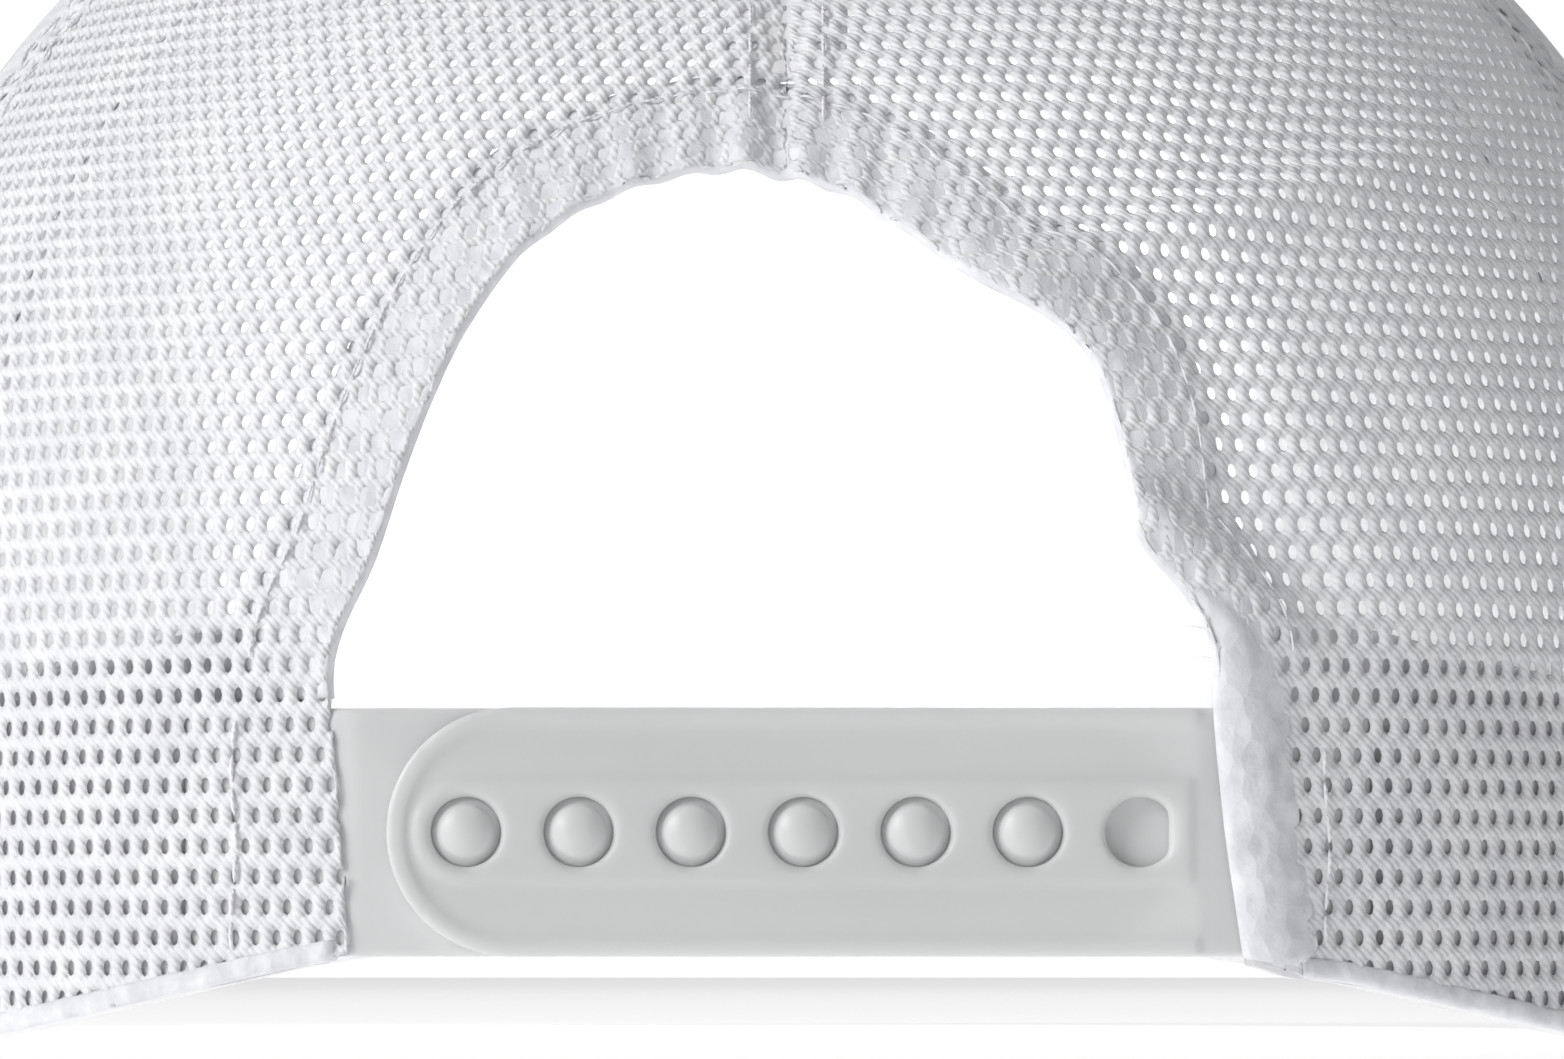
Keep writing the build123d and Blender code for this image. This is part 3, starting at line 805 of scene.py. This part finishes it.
def arch_fold():
    """The mesh turned in along the opening; beside the strap at the right it is a soft welt."""
    fold, welt = smooth_loop(FOLD_SECTION), smooth_loop(WELT_SECTION)
    x, z = OPENING_LINE.T
    low_side = z < strap_top + 4
    keep = ~(low_side & (x < 0) & (z < strap_top + 0.6))
    x, z, normal, length = x[keep], z[keep], ARCH_NORMALS[keep], ARCH_LENGTH[keep]
    share = np.where(x > 0, 1 - smoothstep(z, strap_top - 1, strap_top + 12), 0)[:, None, None]
    section = fold[None] * (1 - share) + welt[None] * share
    away, out = section[..., 0], section[..., 1]
    sunk = 0.45 * (1 - smoothstep(z, strap_top + 0.5, strap_top + 8)) * (x < 0)
    out = out - sunk[:, None] * smoothstep(away, 0.5, 2) * (out > -0.5)
    pull = 0.05 * np.sin(2 * pi * length / 2.9) + 0.04 * np.sin(2 * pi * length / 7.3 + 1)
    outside = out > -0.5
    out = out + np.where(outside, pull[:, None] * smoothstep(away, -1, 1), 0)
    spot_x = x[:, None] + normal[:, 0, None] * away
    spot_z = z[:, None] + normal[:, 1, None] * away
    spot_z = np.maximum(spot_z, rear_hem(spot_x) + 0.25)
    rings = back_point(spot_x, spot_z, out)
    piece = tube_piece("opening_fold", rings[:, ::-1], FOLDED_MESH)
    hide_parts("opening_binding")


HEM_SECTION = (  # height over the hem, and how far out of the cloth
    (1.7, 0.1), (1.1, 0.32), (0.45, 0.28), (0.06, -0.02), (0.04, -0.5), (0.35, -0.86), (1.1, -0.92),
    (3.6, -0.95), (3.9, -0.75), (3.6, -0.55), (1.9, -0.45),
)


def hem_roll(name, start, end):
    """The narrow rolled hem at the foot of the mesh, between two angles."""
    section = smooth_loop(HEM_SECTION, 2)
    phi = np.linspace(start, end, max(40, int(abs(end - start) * half_width / 0.8)))
    place = phi * half_width
    lumps = 0.1 * np.sin(2 * pi * place / 3.1) + 0.07 * np.sin(2 * pi * place / 8.3 + 2)
    height = hem_height(phi)[:, None] + section[None, :, 0]
    out = section[None, :, 1] + np.where(section[:, 1] > -0.4, 1, 0)[None] * lumps[:, None]
    angle = np.broadcast_to(phi[:, None], height.shape)
    rings = on_crown(angle, height, -(cloth_out(angle, height) + out))
    piece = tube_piece(name, rings[:, ::-1], FOLDED_MESH)


# ---- Stitches ----


def point_along(reach, total, values):
    """The values of a line, read at a length along it."""
    return np.array([np.interp(reach, total, values[:, k]) for k in range(3)])


def stitches(name, lines, length=2.4, gap=0.9, thickness=0.16, rise=0.16):
    """Rows of stitches in one piece; each line is (points, outward directions)."""
    around = 6
    shares = (0.0, 0.2, 0.5, 0.8, 1.0)
    widths = (0.3, 0.85, 1.0, 0.85, 0.3)
    turn = np.arange(around) * 2 * pi / around
    last = (len(shares) - 1) * around
    one = grid_faces(len(shares), around, close_columns=True)
    one += [tuple(range(around))[::-1], tuple(range(last, last + around))]
    points, faces = [], []
    for line, outward in lines:
        total = running_length(line)
        for start in np.arange(gap, total[-1] - length, length + gap):
            base = len(points)
            spots = [point_along(start + length * t, total, line) for t in shares]
            out = point_along(start + length / 2, total, outward)
            out /= np.linalg.norm(out)
            along = spots[-1] - spots[0]
            along /= np.linalg.norm(along)
            side = np.cross(along, out)
            for t, width, spot in zip(shares, widths, spots):
                middle = spot + out * (rise * sin(pi * t) - 0.06)
                for angle in turn:
                    ring = side * cos(angle) + out * sin(angle)
                    points.append(middle + ring * thickness * width)
            faces += [tuple(base + point for point in face) for face in one]
    return new_piece(name, points, faces, THREAD)


def outward_of(line):
    """Directions away from the crown's inside, along a line of points on it."""
    away = np.array(line, float)
    away[:, 2] = np.maximum(away[:, 2] - 40, 0) * 1.2
    return away / np.linalg.norm(away, axis=1)[:, None]


def crown_line(phi, height, out):
    line = on_crown(phi, height, -(cloth_out(phi, height) + out))
    return line, outward_of(line)


def seam_stitches():
    lines = []
    for angle in SEAMS:
        low = hem_height(angle) + 3
        if angle == 0:
            low = OPENING_LINE[:, 1].max() + 3
        high = height_at_radius(angle, 9.0)
        heights = low + (high - low) * np.sin(np.linspace(0, 1, 160) * pi / 2)
        radius = crown_radius(np.full_like(heights, angle), heights)
        for side in (-3.0, 3.0):
            phi = angle + np.arctan2(side, radius)
            on_front = abs(angle) > 2 and side * angle > 0
            lines.append(crown_line(phi, heights, 2.0 if on_front else 0.22))
    stitches("seam_stitches", lines)


def arch_stitches():
    z = OPENING_LINE[:, 1]
    keep = z > strap_top + 2
    away = 6.3  # from the opening's edge
    spot = OPENING_LINE[keep] + ARCH_NORMALS[keep] * away
    line = back_point(spot[:, 0], spot[:, 1], 0.2)
    lines = [(line, outward_of(line))]
    stitches("opening_stitches", lines, 1.9, 0.8, 0.13, 0.1)


def strap_stitches():
    lines = []
    for x in (-44.7, 43.6):
        z = np.linspace(strap_bottom + 0.6 - 0.5 * (abs(x) > 44), strap_top - 0.6, 40)
        line = back_point(np.full_like(z, x) + 0.2 * np.sin(z * 0.5), z, 0.2)
        lines.append((line, outward_of(line)))
    stitches("strap_end_stitches", lines, 2.2, 0.5, 0.2, 0.12)


# ---- Sweatband and forehead padding ----

BAND_SECTION = (  # distance in from the mesh's outer face, and height over the hem
    (1.05, 1.4), (1.05, 0.25), (1.6, 0.08), (3.2, 0.1), (4.0, 0.4), (4.08, 3.0), (4.0, 9.0),
    (4.05, 20.0), (4.08, 27.0), (3.95, 29.3), (3.3, 29.95), (2.6, 29.6), (2.4, 27.0), (2.42, 12.0),
    (2.42, 3.0), (2.4, 1.8),
)


def back_limits(x):
    """The two angles at which the lining meets x at the back, going round the front."""
    start = phi_at_x(x, 10.0)
    return start, 2 * pi - start


def sweatband():
    section = smooth_loop(BAND_SECTION, 3)
    start, end = back_limits(38.6)
    phi = np.linspace(start, end, 620)
    inset, up = section[:, 0], section[:, 1]
    place = phi * half_width
    gathers = 0.16 * np.sin(2 * pi * place / 6.1) + 0.12 * np.sin(2 * pi * place / 15.7 + 1)
    inner_side = smoothstep(inset, 2.8, 3.6) * smoothstep(up, 1, 8)
    depth = inset[None] - np.abs(gathers[:, None]) * inner_side[None] - 0.25 * inner_side[None]
    near_back = np.minimum(phi - start, end - phi)
    narrow = smoothstep(near_back, 0.09, 0.13)[:, None]
    depth = np.where(inset[None] < 2.3, depth * narrow + 2.35 * (1 - narrow), depth)
    at_front = 1 - smoothstep(np.abs(phi - pi), radians(54), radians(57))[:, None]
    close = (narrow * (1 - at_front)) * ((inset > 2.3) & (inset < 2.5) & (up > 1.5))[None]
    depth = depth - 1.25 * close
    angle = np.broadcast_to(phi[:, None], depth.shape)
    height = hem_height(angle) + up[None]
    rings = on_crown(angle, height, depth)
    piece = tube_piece("sweatband_roll", rings, COTTON)
    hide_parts("sweatband")

    lines = []
    for up_line in (4.5, 27.0):
        phi = np.linspace(start + 0.02, end - 0.02, 600)
        height = hem_height(phi) + up_line
        line = on_crown(phi, height, 3.86)
        lines.append((line, -outward_of(line)))
    stitches("sweatband_stitches", lines, 2.6, 0.9)


def forehead_pad():
    half_angle = radians(53)
    phi = np.linspace(pi - half_angle + 0.01, pi + half_angle - 0.01, 150)
    rise = np.linspace(0, 1, 26)
    low, tall = 1.75, 23.7
    height = hem_height(phi)[None] + low + tall * rise[:, None]
    angle = np.broadcast_to(phi, height.shape)
    edge = np.minimum(rise * tall, (1 - rise) * tall)[:, None]
    side = np.minimum(phi - phi[0], phi[-1] - phi)[None] * front_length
    crowned = smoothstep(edge, 0, 3) * smoothstep(side, 0, 3)
    outer = on_crown(angle, height, 1.35 - 0.3 * crowned)
    inner = on_crown(angle, height, 1.85 + 0.3 * crowned)
    pad = slab("forehead_foam_pad", outer, inner, FOAM)
    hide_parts("forehead_padding")


# ---- Visor ----


def visor_edge_line():
    """The visor's outline from the crown at the right, round the tip, to the crown at the left."""
    line = smooth_through(VISOR_EDGE, 1.0)
    angle = np.arctan2(line[:, 0], -line[:, 1])
    height = front_hem(line[:, 0], line[:, 1])
    outside = np.hypot(line[:, 0], line[:, 1]) > crown_radius(angle, height, visor_inset)
    line = line[outside]
    total = running_length(line)
    even = np.linspace(0, total[-1], visor_columns)
    return np.stack([np.interp(even, total, line[:, k]) for k in (0, 1)], axis=-1)


VISOR_LINE = visor_edge_line()


def visor_height(x, y, over):
    """Height of the visor's sheet that lies over its underside by this much."""
    arch = np.sqrt((visor_radius + over) ** 2 - x**2) - visor_radius
    return visor_low + arch - visor_slope * y


def visor_grid(shares, over):
    """Points of one of the visor's sheets, from the crown at share 0 to its edge at 1."""
    right = atan2(VISOR_LINE[0, 0], -VISOR_LINE[0, 1])
    phi = np.linspace(right, 2 * pi - right, visor_columns)
    over = np.broadcast_to(over, (len(shares), visor_columns))
    height = np.full(visor_columns, 10.0)
    for _ in range(8):
        radius = crown_radius(phi, np.maximum(height, 0), visor_inset)
        height = visor_height(radius * np.sin(phi), -radius * np.cos(phi), over[0])
    root = np.stack([radius * np.sin(phi), -radius * np.cos(phi)], axis=-1)
    flat = root[None] + (VISOR_LINE - root)[None] * np.asarray(shares)[:, None, None]
    return np.dstack([flat, visor_height(flat[..., 0], flat[..., 1], over)])


def visor_cover(name, node, surface, middle, side):
    """One cloth of the visor, dimpled along its stitching and turned over the board's edge."""
    shares = np.linspace(0, 1, 150)
    dimple = sum(bump(shares, row, 0.012) for row in visor_rows)
    puff = 0.10 * np.sin(np.arange(visor_columns) * 0.9)[None, :] * dimple[:, None]
    over = surface - side * (0.22 * dimple[:, None] + puff + 0.1)
    over = over + side * (smoothstep(shares, 0.985, 1.0) * -0.55)[:, None]
    skin = visor_grid(shares, over)
    turn = [visor_grid([0, 1], middle + (surface - middle) * k)[1] for k in (0.55, 0.3, 0.05)]
    tuck = visor_grid([0, 1 - 0.02], middle + (surface - middle) * 0.1)[1]
    outer = np.concatenate([skin, np.array(turn), tuck[None]])
    if side < 0:
        outer = outer[:, ::-1]
    cover = new_piece(name, outer, grid_faces(*outer.shape[:2]), FRONT_CLOTH, uv=outer[..., :2])
    add_modifier(cover, "SOLIDIFY", thickness=0.45 * METRE, offset=-1.0)
    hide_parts(node)


def visor():
    top = visor_thickness
    middle = top / 2
    visor_cover("visor_top_cloth", "visor_top_cover", top, middle, 1)
    visor_cover("visor_under_cloth", "visor_under_cover", 0.0, middle, -1)
    lines = []
    for row in visor_rows:
        for over, side in ((top - 0.15, 1), (0.15, -1)):
            line = visor_grid([0, row], over)[1]
            outward = np.zeros_like(line)
            outward[:, 2] = side
            outward[:, 0] = side * line[:, 0] / visor_radius
            lines.append((line, outward))
    stitches("visor_stitches", lines, 2.6, 0.8, 0.17, 0.12)


# ---- Button on the crown ----


def button():
    """The button's cloth, drawn over its shell in small folds and turned under."""
    radius, tall, base = 8.0, 4.6, crown_height + 0.1
    folds = 12
    dome = ((0.0, tall), (3.0, tall - 0.35), (5.6, tall - 1.5), (7.3, 2.2))
    rim = ((radius, 1.1), (7.7, 0.3), (6.4, 0.1), (5.2, 0.1))
    profile = smooth_through(dome + rim, 0.35)
    turn = np.linspace(0, 2 * pi, 97)[:-1]
    away = profile[::-1, 0][:, None]
    up = profile[::-1, 1][:, None]
    fold = 0.09 * np.cos(folds * turn)[None, :] * smoothstep(away, 2, 7)
    wide = away - 0.1 + fold
    points = np.stack(np.broadcast_arrays(wide * np.sin(turn), -wide * np.cos(turn), base + up), axis=-1)
    faces = grid_faces(*points.shape[:2], close_columns=True)
    cover = new_piece("button_cloth", points, faces, FRONT_CLOTH, uv=points[..., :2])
    add_modifier(cover, "SOLIDIFY", thickness=0.35 * METRE, offset=-1.0)
    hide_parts("button_cover")


# ---- Snap closure ----


def copy_of(*nodes):
    """One mesh with copies of CAD solids."""
    work = bmesh.new()
    for node in nodes:
        work.from_mesh(frame["nodes"][node].data)
    return work


def add_rings(work, rings):
    """Adds rings of points, the faces between them and a cap on the first; returns their corners."""
    around = len(rings[0])
    corners = [work.verts.new(np.array(spot) * METRE) for ring in rings for spot in ring]
    for face in grid_faces(len(rings), around, close_columns=True):
        work.faces.new([corners[k] for k in face])
    work.faces.new(corners[:around][::-1])
    return corners


PEG_PROFILE = (  # distance from the peg's middle, and height over the strap's middle plane
    (2.95, 0.3), (2.95, 1.15), (2.75, 1.42), (2.4, 1.46), (2.1, 1.65), (1.95, 2.1), (1.55, 2.55),
    (0.85, 2.84), (0.0, 2.9),
)


def add_pegs(work, root):
    """Gives the pegs their domes, and a collar that nearly fills each hole."""
    along = np.array([cos(strap_lean), sin(strap_lean), 0])
    out = np.array([sin(strap_lean), -cos(strap_lean), 0])
    profile = smooth_through(PEG_PROFILE, 0.15)
    around = 40
    turns = np.arange(around) * 2 * pi / around
    spokes = [along * cos(turn) + np.array([0, 0, sin(turn)]) for turn in turns]
    for n in range(peg_count):
        reach = first_hole - root[0] + n * pitch
        centre = np.array([*root, (strap_bottom + strap_top) / 2]) + along * reach
        rings = [[centre + out * up + away * spoke for spoke in spokes] for away, up in profile[:-1]]
        last = add_rings(work, rings)[-around:]
        tip = work.verts.new((centre + out * profile[-1][1]) * METRE)
        for k in range(around):
            work.faces.new((last[k], last[(k + 1) % around], tip))


def bridge(work, line, low, high, thickness):
    """Adds an upright ribbon of plastic along a line in plan."""
    line = smooth_through(line, 0.3)
    along = np.gradient(line, axis=0)
    along /= np.linalg.norm(along, axis=1)[:, None]
    side = np.stack([-along[:, 1], along[:, 0]], axis=-1) * thickness / 2
    loops = []
    for place, off in zip(line, side):
        near, far = place + off, place - off
        loops.append(((*near, low), (*far, low), (*far, high), (*near, high)))
    work.faces.new(add_rings(work, loops)[-4:])


def moulded_strap(name, strap, end, root, side):
    """A strap and its sewn end as one softly moulded piece of plastic."""
    inset = tape_inset + strap_thickness / 2
    work = copy_of(strap, end)
    root = np.array(root)
    if strap == "peg_strap":
        add_pegs(work, root)
    inside = np.array([cos(strap_lean), sin(strap_lean)]) * -side
    out_x = [abs(root[0]) + reach for reach in (1.6, 2.6)]
    sewn = []
    for x in out_x:
        spot = on_crown(phi_at_x(x, strap_middle), strap_middle, inset)
        sewn.append((side * spot[0], spot[1]))
    line = [root + inside * 2.4, root + inside * 1.2, root, *sewn]
    bridge(work, line, strap_bottom + 0.02, strap_top - 0.02, strap_thickness)
    mesh = bpy.data.meshes.new(name)
    work.normal_update()
    work.to_mesh(mesh)
    work.free()
    obj = bpy.data.objects.new(name, mesh)
    bpy.context.scene.collection.objects.link(obj)
    add_modifier(obj, "REMESH", mode="VOXEL", voxel_size=0.21 * METRE, use_smooth_shade=True)
    add_modifier(obj, "SMOOTH", factor=0.5, iterations=24)
    apply_modifiers(obj)
    obj.data.materials.clear()
    obj.data.materials.append(PLASTIC)
    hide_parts(strap, end)
    return obj


def apply_modifiers(obj):
    graph = bpy.context.evaluated_depsgraph_get()
    mesh = bpy.data.meshes.new_from_object(obj.evaluated_get(graph))
    obj.modifiers.clear()
    obj.data = mesh


def straps():
    joints = {joint["name"]: joint for joint in frame["joints"]}
    for name, strap, end, side in (
        ("hole_strap_moulding", "hole_strap", "hole_strap_end", 1),
        ("peg_strap_moulding", "peg_strap", "peg_strap_end", -1),
    ):
        root = [value / METRE for value in joints[strap + "_swing"]["pos_m"]]
        obj = moulded_strap(name, strap, end, root[:2], side)
        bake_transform(obj)


# ---- Floor, light and camera ----


def aim(obj, target):
    direction = Vector(target) - obj.location
    obj.rotation_euler = direction.to_track_quat("-Z", "Y").to_euler()


def area_light(name, place, target, size, power):
    data = bpy.data.lights.new(name, "AREA")
    data.shape = "RECTANGLE"
    data.size, data.size_y = size
    data.energy = power
    light = bpy.data.objects.new(name, data)
    bpy.context.scene.collection.objects.link(light)
    light.location = place
    aim(light, target)
    return light


def studio():
    scene = bpy.context.scene
    scene.view_settings.view_transform = "Standard"
    world = bpy.data.worlds.new("studio")
    scene.world = world
    world.use_nodes = True
    tree = world.node_tree
    background = tree.nodes["Background"]
    background.inputs["Color"].default_value = (0.97, 0.98, 1.0, 1)
    soft_light = 0.08
    backdrop = 1.05
    seen = tree.nodes.new("ShaderNodeLightPath").outputs["Is Camera Ray"]
    level = tree.nodes.new("ShaderNodeMapRange")
    level.inputs["To Min"].default_value = soft_light
    level.inputs["To Max"].default_value = backdrop
    tree.links.new(seen, level.inputs["Value"])
    tree.links.new(level.outputs["Result"], background.inputs["Strength"])

    paper = woven("floor_paper", (0.33, 0.33, 0.33), (0.37, 0.37, 0.37), 300, 0.9)
    shader = paper.node_tree.nodes["Principled BSDF"]
    shader.inputs["Emission Color"].default_value = (1, 1, 1, 1)
    shader.inputs["Emission Strength"].default_value = 0.8
    edge = 3000
    corners = [(-edge, -edge, 0), (edge, -edge, 0), (edge, edge, 0), (-edge, edge, 0)]
    floor = new_piece("floor", corners, [(0, 1, 2, 3)], paper, body=None)
    floor.location.z = -0.0005

    middle = (0, -0.05, 0.045)
    area_light("key", (-0.95, -0.62, 0.55), middle, (0.5, 0.6), 10.5)
    area_light("top", (0.2, -0.3, 1.3), middle, (0.7, 0.7), 3.0)
    area_light("back", (0.3, 0.9, 0.9), middle, (0.8, 0.8), 2.5)
    # it whitens what shows through the opening, as the photograph has it
    inside = area_light("inside", (-0.006, -0.036, 0.056), (-0.006, 0.1, 0.064), (0.095, 0.06), 0.026)
    inside.data.spread = radians(14)
    inside.visible_camera = False

    lens = bpy.data.cameras.new("camera")
    camera = bpy.data.objects.new("camera", lens)
    scene.collection.objects.link(camera)
    scene.camera = camera
    distance = 0.6
    strap_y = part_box("hole_strap")[0][1]
    camera.location = (-0.0004, strap_y - distance, 0.0065)
    aim(camera, (-0.0004, strap_y, 0.0412))
    lens.sensor_width = 36.0
    frame_width = 0.1251
    lens.lens = lens.sensor_width * distance / frame_width
    lens.clip_start = 0.01


mesh_panels()
front_panel()
for label, angle in (
    ("centre", 0.0),
    ("rear_right", rear_seam),
    ("rear_left", -rear_seam),
    ("front_right", front_seam),
    ("front_left", -front_seam),
):
    seam_tape(label + "_tape", angle, "seam_tape_" + label)
arch_fold()
foot_left, foot_right = (phi_at_x(x, 8.0) for x in (-36.6, 41.5))
hem_roll("hem_roll_right", foot_right, front_seam)
hem_roll("hem_roll_left", -front_seam, foot_left)
seam_stitches()
arch_stitches()
strap_stitches()
sweatband()
forehead_pad()
visor()
button()
straps()
for label, material in (("visor_board", BOARD), ("button_shell", METAL), ("button_tack", METAL)):
    frame["nodes"][label].data.materials.clear()
    frame["nodes"][label].data.materials.append(material)
studio()
